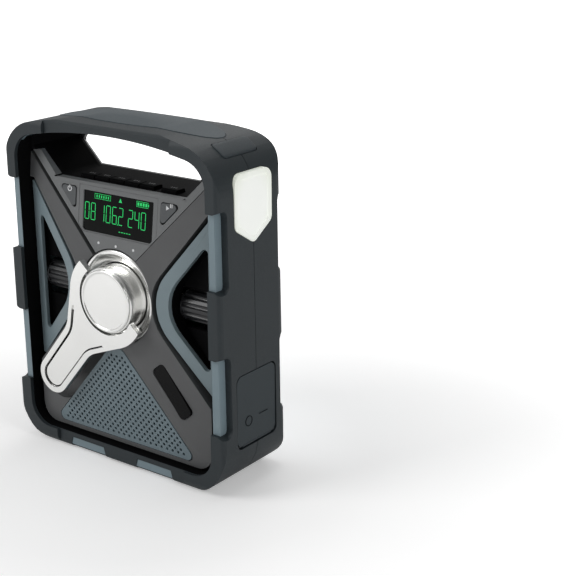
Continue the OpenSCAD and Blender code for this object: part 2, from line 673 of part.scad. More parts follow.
// flap over the sockets
module port_cover() color(c_rub) difference() {
  union() {
    intersection() {
      port_hole(-0.1,70.3,72.5);
      // lower corners drawn in, so that they swing clear of the bumper
      ex(60,80) polygon([[-13.9,pc_z],[13.9,pc_z],[15.6,pc_z+2.75],[15.6,70],[-15.6,70],[-15.6,pc_z+2.75]]);
    }
    port_axis(0.95,11.6);
  }
  port_axis(0.55,20);
  port_hole(-4.5,60,71);
}
// rod on the hinge line of the cover, r thick and h long to each side
module port_axis(r,h) translate([pc_x,-h,pc_z]) rotate([-90,0,0]) cylinder(r=r,h=2*h,$fn=24);
// hinge pin of the flap
module port_cover_pin() color(c_chr) port_axis(0.5,17.2);
// flange and four walls of the socket bay
module port_bay() color(c_blk) difference() {
  union() {
    port_hole(0.2,66.75,69.5);
    bx(57.6,67,-10.8,14.2,24.9,62);
  }
  bx(57,75,-9,13,26,60);
}
// floor of the bay with its three openings
module port_panel() color(c_blk) difference() {
  bx(55.6,57.6,-10.8,14.2,24.9,62);
  bx(55,60,-7.7,7.7,50.3,58.1);
  bx(55,60,-4.4,4.4,40.6,44.4);
  cx(0,31.5,3.55,55,60,32);
}
// charging output
module usb_a_socket() color([0.75,0.76,0.77]) {
  usb_tongue();
  difference() {
    bx(49,64.6,-7.4,7.4,50.6,57.8);
    bx(51,70,-6.4,6.4,51.6,56.8);
  }
}
// tongue of the output socket
module usb_tongue() bx(51,62.5,-5.6,5.6,54.6,56.3);
// charging input
module micro_usb_socket() color([0.75,0.76,0.77]) difference() {
  bx(52,61.6,-4.2,4.2,40.8,44.2);
  bx(54,70,-3.6,3.6,41.4,43.6);
}
// audio jack
module aux_jack() color(c_blk) difference() {
  union() {
    cx(0,31.5,3.5,50,61.4,32);
    bx(47,55.4,-4,4,27.5,35.5);
  }
  cx(0,31.5,1.8,49,70,32);
}

// ---------- rear ----------
rc_y = 19.6;
// rear cover above the light door and frame behind it
module rear_cover() color(c_gry) difference() {
  union() {
    ey(rc_y-2.2,rc_y) polygon(o_rc(145.8));
    difference() {
      ey(rc_y-2.7,rc_y-1.4) polygon(o_rc(0));
      bx(-90,90,0,rc_y-2.2,147.2,200);
    }
  }
  // the battery's opening and room for the hinge blocks
  ey(0,40) polygon(rp([[-46,17],[46,17],[56,27],[56,142.6],[-56,142.6],[-56,27]],3));
  both() bx(56.2,59.8,0,40,0,16.1);
  intersection() {
    union() {
      ey(0,40) polygon(o_gap);
      gap_flare();
    }
    ey(-1,41) polygon(body(60,173.2,120,14,1,290));
  }
  both() cy(57.5,153,1.3,0,40,24);
  both() cy(57.5,153,2.6,rc_y-1.2,40,32);
  bx(-16.4,16.6,0,40,144.3,148.8);
}
// outline of the rear cover above the height z
function o_rc(z) = [for (p = body(rim_half-0.2, arch_under-0.2, 9.7, 13.8, 12.8,
    arch_radius-6.7)) [p[0], max(p[1],z)]];
// two screws hold the rear cover and four the main board
module case_screws() color([0.15,0.15,0.16]) both() {
  difference() {
    union() {
      cy(57.5,153,2.5,rc_y-1.15,rc_y+0.3,32);
      cy(57.5,153,1.25,rc_y-5.6,rc_y-1.1,24);
    }
    cy(57.5,153,0.9,rc_y-0.7,rc_y+1,6);
  }
  for (z=[16,80]) {
    cy(45,z,1.3,2,7.6,20);
    cy(45,z,2.4,7.6,9,24);
  }
}
// sliding latch of the light door
module latch_slider() color(c_shell) difference() {
  union() {
    ey(rc_y-3.0,rc_y+0.6) polygon([[-8.7,145.6],[16.1,145.6],[13.4,148.5],[-8.7,148.5]]);
    bx(-6,10,rc_y-4.2,rc_y-2.5,144.7,149.0);
  }
  for (k=[0:2]) bx(-7.4+k*2.1,-6.5+k*2.1,rc_y+0.1,40,144,149);
}
door_p = [[-50,door_hinge_z-2],[50,door_hinge_z-2],[door_half,30],[door_half,145.1],[-door_half,145.1],
    [-door_half,30]];
win_p = [[-52.5,19],[52.5,19],[64,31],[64,129],[52.5,141],[-52.5,141],[-64,129],[-64,31]];
function sq(p,f) = [for (q=p) [q[0]*f, q[1]]];
// hinged frame of the rear light
module light_door() color(c_gry) difference() {
  union() {
    ey(19.7,23.2) polygon(rp(door_p,[1,1,3,2,2,3]));
  }
  ey(18,30) polygon(rp(sq(win_p,0.955),2));
  both() cx(hinge_y,door_hinge_z,1.05,36,60,24);
}
// opal panel of the rear light
module light_diffuser() color(c_wht) difference() {
  ey(19.9,23.6) polygon(rp(sq(win_p,0.9535),1.9));
  ey(18,22) polygon(rp(sq(ofs(win_p,-2.4),0.955),1.5));
}
// board of the rear light with its emitters
module light_board() color([0.9,0.9,0.88]) {
  ey(20,21) polygon(sq(ofs(win_p,-2.7),0.955));
  for (i=[-4:4]) for (j=[0:7]) bx(i*12-1.4,i*12+1.4,20.9,21.6,28+j*14-1.4,28+j*14+1.4);
}
// hinge pins of the light door
module door_pins() color(c_chr) both() cx(hinge_y,door_hinge_z,1.0,40,59.6,24);

// ---------- inside ----------
// battery block
module battery_pack() color([0.2,0.35,0.6]) ex(-40,40)
    polygon(rp([[8,18],[16.4,18],[16.4,72],[8,72]],2.5));
// main circuit board
module main_board() color(c_pcb) difference() {
  bx(-60,48,6,7.6,12,84);
  cy(0,38,12,0,20);
  both() cy(45,16,1.4,0,20,24);
  both() cy(45,80,1.4,0,20,24);
}

// ---------- draw ----------
front_bumper();
rear_bumper();
shell_front();
shell_rear();
base_frame();
x_frame();
display_fascia();
lcd_bezel();
lcd_glass();
indicator_leds();
power_button();
play_button();
display_board();
handle_deck();
deck_key_1();
deck_key_2();
deck_key_3();
deck_key_4();
deck_key_5();
deck_key_6();
speaker_grille();
speaker_driver();
badge_plate();
crank_dish();
crank_drum();
crank_cap();
crank_arm();
crank_pins();
crank_knob();
drive_gear();
pinion();
generator();
generator_shaft();
tuning_knob();
volume_knob();
roller_brackets();
trim_left();
trim_right();
grip_pad();
light_button();
lamp_lens_right();
lamp_lens_left();
lamp_leds();
port_cover();
port_cover_pin();
port_bay();
port_panel();
usb_a_socket();
micro_usb_socket();
aux_jack();
rear_cover();
case_screws();
latch_slider();
light_door();
light_diffuser();
light_board();
door_pins();
battery_pack();
main_board();
lamp_reflectors();
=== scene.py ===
"""Emergency radio with a folding crank: finishes, small parts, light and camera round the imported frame."""
import json
import math

import bmesh
import bpy
from bpy.props import FloatProperty, FloatVectorProperty, IntProperty, PointerProperty
from mathutils import Matrix, Vector


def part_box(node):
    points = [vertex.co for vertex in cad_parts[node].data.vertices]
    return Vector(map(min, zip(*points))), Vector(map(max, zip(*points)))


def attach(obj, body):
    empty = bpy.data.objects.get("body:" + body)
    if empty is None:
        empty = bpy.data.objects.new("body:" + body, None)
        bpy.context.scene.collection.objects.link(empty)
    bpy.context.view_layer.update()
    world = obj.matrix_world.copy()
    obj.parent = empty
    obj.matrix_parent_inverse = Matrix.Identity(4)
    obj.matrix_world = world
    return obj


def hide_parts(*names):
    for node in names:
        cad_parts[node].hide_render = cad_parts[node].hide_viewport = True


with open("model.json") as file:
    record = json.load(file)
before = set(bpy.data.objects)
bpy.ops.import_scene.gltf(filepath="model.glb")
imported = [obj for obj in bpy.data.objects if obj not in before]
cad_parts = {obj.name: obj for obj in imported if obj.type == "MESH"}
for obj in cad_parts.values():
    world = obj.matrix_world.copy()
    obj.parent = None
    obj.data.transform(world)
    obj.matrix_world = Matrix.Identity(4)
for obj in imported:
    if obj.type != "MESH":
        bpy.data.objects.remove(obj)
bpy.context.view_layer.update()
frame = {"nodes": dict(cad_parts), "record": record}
NODES = frame["nodes"]

bl_info = {
    "name": "Emergency radio",
    "version": (1, 0, 0),
    "blender": (4, 5, 0),
    "location": "3D View > Sidebar > Radio",
    "description": "Dresses the hand-crank emergency radio and lights it",
    "category": "Object",
}

MM = 0.001
HUB = (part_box("crank_cap")[0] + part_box("crank_cap")[1]) / 2  # middle of the crank's cap
FASCIA_TILT = math.atan(0.13)  # lean of the display fascia
INK = 0.04 * MM  # height of the display's lit segments
SAME_CORNER = 0.002 * MM  # corners of a CAD node nearer than this are one corner
FLAT_ANGLE = math.radians(0.4)  # neighbouring faces that turn less than this are one face
EDGE_ANGLE = 24  # degrees above which an edge is rounded
SHARP_ANGLE = 32  # degrees above which an edge stays a crease in the shading
AREA_CHANGE = 0.06  # share of its area that a part may gain or lose when its edges are rounded


# ---------------------------------------------------------------- properties
def linear(r, g, b):
    """A display colour of 0 to 255 as the linear colour that a shader takes."""
    return tuple((c / 255 / 12.92) if c < 11 else ((c / 255 + 0.055) / 1.055) ** 2.4 for c in (r, g, b))


def colour(name, description, *rgb):
    return FloatVectorProperty(
        name=name, description=description, subtype="COLOR", size=3, min=0, max=1, default=linear(*rgb)
    )


def length(name, description, default):
    return FloatProperty(name=name, description=description, default=default, min=0, unit="LENGTH", precision=5)


class RadioColours(bpy.types.PropertyGroup):
    """The colours of the radio's own finishes."""

    bumper: colour("Bumper", "Soft rubber of the bumper, cover flap and lamp switch", 37, 45, 49)
    grip: colour("Grip", "Rubber inlay on top of the handle", 68, 78, 83)
    shell: colour("Shell", "Blue-grey inner shell in the notches", 130, 148, 156)
    trim: colour("Trim", "Window trims and latch", 132, 148, 154)
    grille: colour("Grille", "Speaker grille", 114, 130, 137)
    face: colour("Face", "X-shaped face frame and rear frame", 90, 91, 92)
    fascia: colour("Fascia", "Display fascia and its two buttons", 118, 120, 121)
    black: colour("Black parts", "Lining, deck and bays", 12, 12, 13)
    key: colour("Buttons", "The two buttons under the display", 86, 89, 91)
    flap: colour("Cover flap", "Rubber flap over the sockets", 41, 51, 56)
    roller: colour("Rollers", "Ribbed tuning and volume rollers", 40, 41, 43)
    metal: colour("Crank metal", "Satin chrome of the crank", 244, 244, 242)
    lamp: colour("Lamp light", "Light of the side lamps", 248, 250, 246)
    lamp_edge: colour("Lamp edge", "Lens rim, a little greener", 218, 225, 203)
    lantern: colour("Rear light", "Light of the rear panel", 246, 252, 255)
    digits: colour("Display light", "Lit segments of the display", 20, 165, 82)


class RadioSizes(bpy.types.PropertyGroup):
    """Sizes of rounded edges and surface grain."""

    soft_edge: length("Rubber edge", "Edge radius of the rubber mouldings", 0.9 * MM)
    hard_edge: length("Plastic edge", "Edge radius of the hard plastic parts", 0.35 * MM)
    crank_edge: length("Crank edge", "Edge radius of the crank's lever", 0.75 * MM)
    rubber_grain: length("Rubber grain", "Size of the rubber's fine texture", 0.45 * MM)
    plastic_grain: length("Plastic grain", "Size of the eroded plastic texture", 0.30 * MM)
    icon_line: length("Mark line", "Width of the thin lines of moulded marks", 0.5 * MM)


class RadioDisplay(bpy.types.PropertyGroup):
    """Layout of the lit display."""

    digit_height: length("Digit height", "Height of the large digits", 8.6 * MM)
    digit_width: length("Digit width", "Width of the large digits", 3.2 * MM)
    digit_pitch: length("Digit pitch", "Distance from one digit to the next", 4.3 * MM)
    segment: length("Segment width", "Width of one lit segment", 0.4 * MM)
    bars: IntProperty(name="Level bars", description="Bars of the signal meter", default=6, min=1, max=12)


class RadioStage(bpy.types.PropertyGroup):
    """Camera, floor and lights."""

    azimuth: FloatProperty(name="Azimuth", description="Camera round the radio", default=36.39, unit="NONE")
    elevation: FloatProperty(name="Elevation", description="Camera above the horizon", default=18.25)
    roll: FloatProperty(name="Roll", description="Camera turned about its own axis", default=-0.29)
    lens: FloatProperty(name="Lens", description="Focal length in millimetres", default=80.62, min=20, max=200)
    eye: FloatVectorProperty(
        name="Camera place", description="Where the camera stands", size=3, default=(0.4422, -0.4743, 0.3045),
        subtype="TRANSLATION",
    )
    floor: colour("Floor", "Plain pale floor and backdrop", 250, 250, 250)


# ---------------------------------------------------------------- materials
class Shader:
    """A Principled material, with short calls for the nodes that vary it."""

    def __init__(self, name, base, rough, metallic=0.0, **sockets):
        self.mat = bpy.data.materials.new(name)
        self.mat.use_nodes = True
        self.tree = self.mat.node_tree
        self.bsdf = self.tree.nodes["Principled BSDF"]
        self.base = (*base, 1.0)
        self.bsdf.inputs["Base Color"].default_value = self.base
        self.bsdf.inputs["Roughness"].default_value = rough
        self.bsdf.inputs["Metallic"].default_value = metallic
        for key, value in sockets.items():
            self.bsdf.inputs[key.replace("_", " ")].default_value = value
        self.mat.diffuse_color = self.base
        self.place = self.node("ShaderNodeTexCoord").outputs["Object"]

    def node(self, kind, **inputs):
        made = self.tree.nodes.new(kind)
        for key, value in inputs.items():
            made.inputs[key].default_value = value
        return made

    def link(self, out, to):
        self.tree.links.new(out, to)

    def noise(self, cell, detail=3.0, stretch=(1, 1, 1)):
        """Noise whose cells are about cell metres, stretched along an axis."""
        place = self.node("ShaderNodeMapping")
        place.inputs["Scale"].default_value = stretch
        self.link(self.place, place.inputs["Vector"])
        made = self.node("ShaderNodeTexNoise", Scale=1 / cell, Detail=detail, Roughness=0.55)
        self.link(place.outputs["Vector"], made.inputs["Vector"])
        return made.outputs["Fac"]

    def ranged(self, fac, low, high, start=0.25, end=0.75):
        made = self.node("ShaderNodeMapRange")
        for i, value in enumerate((start, end, low, high), 1):
            made.inputs[i].default_value = value
        self.link(fac, made.inputs["Value"])
        return made.outputs["Result"]

    def vary_colour(self, fac, amount):
        """Lightens and darkens the base colour by amount where fac runs from 0 to 1."""
        mix = self.node("ShaderNodeMix")
        mix.data_type = "RGBA"
        for slot in (6, 7):
            shade = 1 - amount if slot == 6 else 1 + amount
            mix.inputs[slot].default_value = (*[min(1, c * shade) for c in self.base[:3]], 1)
        self.link(self.ranged(fac, 0, 1), mix.inputs["Factor"])
        self.link(mix.outputs[2], self.bsdf.inputs["Base Color"])

    def vary_rough(self, fac, low, high):
        self.link(self.ranged(fac, low, high), self.bsdf.inputs["Roughness"])

    def bump(self, fac, height, strength=0.6):
        made = self.node("ShaderNodeBump", Strength=strength, Distance=height)
        self.link(fac, made.inputs["Height"])
        self.link(made.outputs["Normal"], self.bsdf.inputs["Normal"])

    def radius(self):
        """Distance from the crank's axis, for turned marks."""
        place = self.node("ShaderNodeMapping")
        place.inputs["Location"].default_value = (-HUB.x, 0, -HUB.z)
        place.inputs["Scale"].default_value = (1, 0, 1)
        self.link(self.place, place.inputs["Vector"])
        measure = self.node("ShaderNodeVectorMath")
        measure.operation = "LENGTH"
        self.link(place.outputs["Vector"], measure.inputs[0])
        return measure.outputs["Value"]


def moulded(name, base, rough, grain, height, mottling=0.08, **sockets):
    """Moulded plastic or rubber: fine grain, slow change of colour, uneven gloss."""
    s = Shader(name, base, rough, **sockets)
    fine = s.noise(grain, 2.0)
    slow = s.noise(18 * MM, 4.0)
    s.vary_colour(slow, mottling)
    s.vary_rough(fine, max(0.05, rough - 0.08), min(1, rough + 0.08))
    s.bump(fine, height)
    return s.mat


def satin_metal(name, base, rough, turned):
    """Plated metal with turned rings about the crank's axis, or with a plain fine grain."""
    s = Shader(name, base, rough, 1.0)
    if turned:
        rings = s.node("ShaderNodeTexNoise", Detail=3.0)
        rings.noise_dimensions = "1D"
        rings.inputs["Scale"].default_value = 1 / (0.22 * MM)
        s.link(s.radius(), rings.inputs["W"])
        marks = rings.outputs["Fac"]
    else:
        marks = s.noise(0.35 * MM, 2.0)
    s.vary_rough(marks, rough - 0.06, rough + 0.07)
    s.bump(marks, 0.006 * MM, 0.35)
    s.vary_colour(s.noise(22 * MM, 2.0), 0.03)
    return s.mat


def lit(name, light, strength, edge=None, centre=None, reach=None):
    """A lit lens. With a centre, it fades from light to edge at reach metres along Y and Z."""
    s = Shader(name, light, 0.35)
    s.bsdf.inputs["Emission Strength"].default_value = strength
    s.bsdf.inputs["Emission Color"].default_value = (*light, 1)
    if centre is None:
        s.vary_rough(s.noise(0.6 * MM), 0.3, 0.42)
        return s.mat
    place = s.node("ShaderNodeMapping")
    place.inputs["Location"].default_value = (0, -centre[1] / reach[1], -centre[2] / reach[2])
    place.inputs["Scale"].default_value = (0, 1 / reach[1], 1 / reach[2])
    s.link(s.place, place.inputs["Vector"])
    far = s.node("ShaderNodeVectorMath")
    far.operation = "LENGTH"
    s.link(place.outputs["Vector"], far.inputs[0])
    ramp = s.node("ShaderNodeValToRGB")
    ramp.color_ramp.elements[0].position = 0.62
    ramp.color_ramp.elements[0].color = (*light, 1)
    ramp.color_ramp.elements[1].position = 1.0
    ramp.color_ramp.elements[1].color = (*edge, 1)
    s.link(far.outputs["Value"], ramp.inputs["Fac"])
    s.link(ramp.outputs["Color"], s.bsdf.inputs["Emission Color"])
    s.bump(s.noise(1.5 * MM, 1.0), 0.05 * MM, 0.3)
    return s.mat


FINISH = {}


def finishes():
    """Makes every finish once, from the colours and grain sizes of the scene."""
    if FINISH:
        return FINISH
    c, g = bpy.context.scene.radio_colours, bpy.context.scene.radio_sizes
    rubber, plastic = g.rubber_grain, g.plastic_grain
    FINISH.update(
        bumper=moulded("Bumper rubber", c.bumper, 0.56, rubber, 0.05 * MM, 0.07),
        grip=moulded("Grip rubber", c.grip, 0.62, rubber, 0.05 * MM, 0.05),
        shell=moulded("Shell plastic", c.shell, 0.38, plastic, 0.02 * MM, 0.05),
        trim=moulded("Trim plastic", c.trim, 0.36, plastic, 0.02 * MM, 0.05),
        grille=moulded("Grille paint", c.grille, 0.42, plastic, 0.02 * MM, 0.05),
        face=moulded("Face plastic", c.face, 0.40, plastic, 0.03 * MM, 0.06),
        fascia=moulded("Fascia plastic", c.fascia, 0.40, plastic, 0.03 * MM, 0.05),
        black=moulded("Black plastic", c.black, 0.72, plastic, 0.02 * MM, 0.10, Specular_IOR_Level=0.05),
        key=moulded("Button plastic", c.key, 0.42, plastic, 0.02 * MM, 0.05),
        flap=moulded("Flap rubber", c.flap, 0.56, rubber, 0.04 * MM, 0.05),
        roller=moulded("Roller plastic", c.roller, 0.30, plastic, 0.01 * MM, 0.10),
        gloss=moulded("Gloss black", linear(9, 9, 10), 0.24, plastic, 0.002 * MM, 0.05, Specular_IOR_Level=0.12),
        turned=satin_metal("Turned chrome", c.metal, 0.20, True),
        chrome=satin_metal("Satin chrome", c.metal, 0.22, False),
        steel=satin_metal("Steel", linear(170, 171, 173), 0.28, False),
        brass=satin_metal("Brass", linear(196, 160, 88), 0.30, False),
        nylon=moulded("Nylon", linear(226, 220, 200), 0.45, plastic, 0.01 * MM),
        board=moulded("Circuit board", linear(22, 92, 52), 0.35, 2 * MM, 0.01 * MM, 0.25),
        white_board=moulded("White board", linear(226, 226, 222), 0.40, 2 * MM, 0.01 * MM),
        cell=moulded("Battery wrap", linear(48, 86, 140), 0.30, 3 * MM, 0.02 * MM),
        cone=moulded("Speaker cone", linear(40, 40, 42), 0.75, 0.8 * MM, 0.08 * MM, 0.2),
        screw=moulded("Black screws", linear(34, 34, 36), 0.30, plastic, 0.01 * MM),
        digits=lit("Lit segments", c.digits, 1.0),
        mark=moulded("Moulded marks", linear(238, 239, 240), 0.45, plastic, 0.005 * MM),
        lantern=lit("Rear lantern", c.lantern, 0.5),
        emitter=lit("Emitter", linear(255, 246, 214), 1.0),
    )
    glass = Shader("Display window", linear(7, 9, 8), 0.12, Specular_IOR_Level=0.15)
    glass.vary_colour(glass.noise(9 * MM), 0.15)
    FINISH["glass"] = glass.mat
    return FINISH


# ---------------------------------------------------------------- making pieces
def wear(node, finish):
    """Gives a CAD node that keeps its own shape its finish."""
    mesh = NODES[node].data
    mesh.materials.clear()
    mesh.materials.append(finishes()[finish])
    return NODES[node]


def add_piece(name, bm, finish, body):
    """Turns a bmesh into a piece that rides on a body."""
    mesh = bpy.data.meshes.new(name)
    bm.to_mesh(mesh)
    bm.free()
    mesh.shade_smooth()
    mesh.set_sharp_from_angle(angle=math.radians(30))
    mesh.materials.append(finishes()[finish])
    piece = bpy.data.objects.new(name, mesh)
    bpy.context.collection.objects.link(piece)
    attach(piece, body)
    return piece


def baked(piece):
    """Applies the piece's modifiers to its mesh."""
    depsgraph = bpy.context.evaluated_depsgraph_get()
    mesh = bpy.data.meshes.new_from_object(piece.evaluated_get(depsgraph))
    piece.modifiers.clear()
    piece.data = mesh
    return piece


def body_of(node):
    return next(name for name, nodes in frame["record"]["behaviour"]["bodies"].items() if node in nodes)


def slot_of(node):
    return next(s["material_slot"] for s in frame["record"]["subparts"] if s["node"] == node)


def merged(node):
    """A CAD node's mesh with its corners joined and its flat faces whole."""
    bm = bmesh.new()
    bm.from_mesh(NODES[node].data)
    bmesh.ops.remove_doubles(bm, verts=bm.verts, dist=SAME_CORNER)
    bmesh.ops.dissolve_limit(bm, angle_limit=FLAT_ANGLE, verts=bm.verts, edges=bm.edges)
    return bm


def area_of(mesh):
    """Area of all the faces of a mesh."""
    return sum(face.area for face in mesh.polygons)


def rounded(node, finish, edge, segments=2):
    """Stands a copy with rounded edges in a CAD node's place; where an edge would fold over, it is made finer."""
    name = f"{node}_moulding"
    mesh = bpy.data.meshes.new(name)
    piece = bpy.data.objects.new(name, mesh)
    bpy.context.collection.objects.link(piece)
    whole = area_of(NODES[node].data)
    for width in (edge, edge * 0.6, edge * 0.3, edge * 0.1):
        bm = merged(node)
        mesh = bpy.data.meshes.new(name)
        bm.to_mesh(mesh)
        bm.free()
        mesh.materials.append(finishes()[finish])
        piece.data = mesh
        bevel = piece.modifiers.new("Rounded edges", "BEVEL")
        bevel.width = width
        bevel.segments = segments
        bevel.limit_method = "ANGLE"
        bevel.angle_limit = math.radians(EDGE_ANGLE)
        bevel.use_clamp_overlap = True
        bevel.miter_outer = "MITER_ARC"
        baked(piece)
        if abs(area_of(piece.data) / whole - 1) < AREA_CHANGE:
            break
    piece.data.shade_smooth()
    piece.data.set_sharp_from_angle(angle=math.radians(SHARP_ANGLE))
    flat = piece.modifiers.new("Flat faces stay flat", "WEIGHTED_NORMAL")
    flat.keep_sharp = True
    baked(piece)
    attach(piece, body_of(node))
    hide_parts(node)
    return piece


def plate(bm, points, matrix, thick):
    """Adds a flat closed plate: an outline in x, y of matrix, raised along its z by thick."""
    low = [bm.verts.new(matrix @ Vector((x, y, 0))) for x, y in points]
    high = [bm.verts.new(matrix @ Vector((x, y, thick))) for x, y in points]
    bm.faces.new(low[::-1])
    bm.faces.new(high)
    for i in range(len(points)):
        j = (i + 1) % len(points)
        bm.faces.new((low[i], low[j], high[j], high[i]))


def block(x0, x1, y0, y1):
    return [(x0, y0), (x1, y0), (x1, y1), (x0, y1)]


def arc(cx, cy, r, start, end, steps=16):
    turn = [math.radians(start + (end - start) * k / steps) for k in range(steps + 1)]
    return [(cx + r * math.cos(t), cy + r * math.sin(t)) for t in turn]


def band(cx, cy, r, width, start, end, steps=24):
    """Outline of a ring's arc."""
    return arc(cx, cy, r + width / 2, start, end, steps) + arc(cx, cy, r - width / 2, end, start, steps)


def ring(bm, cx, cy, r, width, matrix, thick, parts=4):
    """A whole ring, made of equal arcs that meet."""
    span = 360 / parts
    for k in range(parts):
        plate(bm, band(cx, cy, r, width, k * span, (k + 1) * span, 10), matrix, thick)


def line(bm, a, b, width, matrix, thick):
    """A straight thin line from a to b."""
    a, b = Vector(a), Vector(b)
    side = (b - a).normalized().orthogonal() * width / 2
    plate(bm, [tuple(a + side), tuple(a - side), tuple(b - side), tuple(b + side)], matrix, thick)


def fillet(a, corner, b, r, steps=10):
    """Points of a rounded corner between two straight edges."""
    a, corner, b = Vector(a), Vector(corner), Vector(b)
    to_a, to_b = (a - corner).normalized(), (b - corner).normalized()
    half = to_a.angle(to_b) / 2
    centre = corner + (to_a + to_b).normalized() * (r / math.sin(half))
    start = corner + to_a * (r / math.tan(half)) - centre
    end = corner + to_b * (r / math.tan(half)) - centre
    first = math.atan2(start.y, start.x)
    turn = (math.atan2(end.y, end.x) - first + math.pi) % math.tau - math.pi
    return arc(*centre, r, math.degrees(first), math.degrees(first + turn), steps)


def strip(bm, path, width, matrix, thick):
    """A narrow flat strip along an open path."""
    rows = []
    for k, point in enumerate(path):
        along = (Vector(path[min(k + 1, len(path) - 1)]) - Vector(path[max(k - 1, 0)])).normalized()
        side = Vector((-along.y, along.x)) * width / 2
        corners = [(*(Vector(point) + side), 0), (*(Vector(point) - side), 0),
                   (*(Vector(point) - side), thick), (*(Vector(point) + side), thick)]
        rows.append([bm.verts.new(matrix @ Vector(c)) for c in corners])
    for one, two in zip(rows, rows[1:]):
        for i in range(4):
            j = (i + 1) % 4
            bm.faces.new((one[i], two[i], two[j], one[j]))
    bm.faces.new(rows[0])
    bm.faces.new(rows[-1][::-1])


def face_plane(node, lift=0.0):
    """Axes on the tilted face: x to the right, y up the slope, z outwards, from the node's lowest front edge."""
    verts = [v.co for v in NODES[node].data.vertices]
    low = min(v.y for v in verts)
    front = [v for v in verts if v.y < low + 0.02 * MM]
    foot = Vector((0, low, min(v.z for v in front)))
    out = Vector((0, -math.cos(FASCIA_TILT), math.sin(FASCIA_TILT)))
    up = Vector((0, math.sin(FASCIA_TILT), math.cos(FASCIA_TILT)))
    right = Vector((1, 0, 0))
    m = Matrix((right, up, out)).transposed().to_4x4()
    m.translation = foot + out * lift
    return m


def nodes_tree(name, sizes):
    """An empty Geometry Nodes tree with named number inputs."""
    tree = bpy.data.node_groups.new(name, "GeometryNodeTree")
    for label, kind in sizes:
        tree.interface.new_socket(label, in_out="INPUT", socket_type=kind)
    tree.interface.new_socket("Geometry", in_out="OUTPUT", socket_type="NodeSocketGeometry")
    return tree, tree.nodes.new("NodeGroupInput"), tree.nodes.new("NodeGroupOutput")


def grid_tree():
    """A tree that sets equal blocks out on a grid."""
    numbers = [("Columns", "NodeSocketInt"), ("Rows", "NodeSocketInt")]
    sizes = [(n, "NodeSocketFloat") for n in ("Column pitch", "Row pitch", "Width", "Height", "Thickness")]
    tree, start, end = nodes_tree("Blocks on a grid", numbers + sizes + [("Finish", "NodeSocketMaterial")])

    def math_node(op, a, b):
        made = tree.nodes.new("ShaderNodeMath")
        made.operation = op
        for slot, value in enumerate((a, b)):
            if isinstance(value, (int, float)):
                made.inputs[slot].default_value = value
            else:
                tree.links.new(value, made.inputs[slot])
        return made.outputs[0]

    def span(count, pitch):
        return math_node("MULTIPLY", math_node("SUBTRACT", start.outputs[count], 1), start.outputs[pitch])

    grid = tree.nodes.new("GeometryNodeMeshGrid")
    tree.links.new(span("Columns", "Column pitch"), grid.inputs["Size X"])
    tree.links.new(span("Rows", "Row pitch"), grid.inputs["Size Y"])
    tree.links.new(start.outputs["Columns"], grid.inputs["Vertices X"])
    tree.links.new(start.outputs["Rows"], grid.inputs["Vertices Y"])
    size = tree.nodes.new("ShaderNodeCombineXYZ")
    for axis, label in zip("XYZ", ("Width", "Height", "Thickness")):
        tree.links.new(start.outputs[label], size.inputs[axis])
    cube = tree.nodes.new("GeometryNodeMeshCube")
    tree.links.new(size.outputs["Vector"], cube.inputs["Size"])
    spread = tree.nodes.new("GeometryNodeInstanceOnPoints")
    tree.links.new(grid.outputs["Mesh"], spread.inputs["Points"])
    tree.links.new(cube.outputs["Mesh"], spread.inputs["Instance"])
    real = tree.nodes.new("GeometryNodeRealizeInstances")
    tree.links.new(spread.outputs["Instances"], real.inputs["Geometry"])
    paint = tree.nodes.new("GeometryNodeSetMaterial")
    tree.links.new(real.outputs["Geometry"], paint.inputs["Geometry"])
    tree.links.new(start.outputs["Finish"], paint.inputs["Material"])
    tree.links.new(paint.outputs["Geometry"], end.inputs["Geometry"])
    return tree


def grid_blocks(name, count, pitch, size, matrix, finish, body, edge=0.0):
    """A piece of equal blocks on a grid in the x, y plane of matrix, centred on its origin."""
    tree = bpy.data.node_groups.get("Blocks on a grid") or grid_tree()
    piece = bpy.data.objects.new(name, bpy.data.meshes.new(name))
    bpy.context.collection.objects.link(piece)
    spread = piece.modifiers.new("Blocks", "NODES")
    spread.node_group = tree
    values = dict(zip(("Columns", "Rows"), count)) | dict(zip(("Column pitch", "Row pitch"), pitch))
    values |= dict(zip(("Width", "Height", "Thickness"), size)) | {"Finish": finishes()[finish]}
    for item in tree.interface.items_tree:
        if item.name in values:
            spread[item.identifier] = values[item.name]
    if edge:
        bevel = piece.modifiers.new("Edges", "BEVEL")
        bevel.width = edge
        bevel.segments = 2
    baked(piece)
    piece.data.transform(matrix)
    piece.data.materials.clear()
    piece.data.materials.append(finishes()[finish])
    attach(piece, body)
    return piece


# ---------------------------------------------------------------- operators
class RADIO_OT_bumpers(bpy.types.Operator):
    """Rubber bumper halves, with soft edges"""

    bl_idname = "radio.bumpers"
    bl_label = "Bumpers"

    def execute(self, context):
        edge = context.scene.radio_sizes.soft_edge
        for node in ("front_bumper", "rear_bumper"):
            rounded(node, "bumper", edge, 3)
        return {"FINISHED"}


class RADIO_OT_shells(bpy.types.Operator):
    """Blue-grey inner shells and the black lining"""

    bl_idname = "radio.shells"
    bl_label = "Shells and lining"

    def execute(self, context):
        edge = context.scene.radio_sizes.hard_edge
        for node in ("shell_front", "shell_rear"):
            rounded(node, "shell", edge)
        rounded("base_frame", "black", edge)
        return {"FINISHED"}


class RADIO_OT_face(bpy.types.Operator):
    """X-shaped face frame, fascia, grille, name plate and window trims"""

    bl_idname = "radio.face"
    bl_label = "Face"

    def execute(self, context):
        edge = context.scene.radio_sizes.hard_edge
        rounded("x_frame", "face", edge * 1.6, 3)
        rounded("display_fascia", "fascia", edge)
        rounded("trim_left", "trim", edge * 2.6, 3)
        rounded("trim_right", "trim", edge * 2.6, 3)
        rounded("badge_plate", "gloss", edge)
        rounded("speaker_grille", "grille", edge * 0.4)
        wear("speaker_driver", "cone")
        return {"FINISHED"}


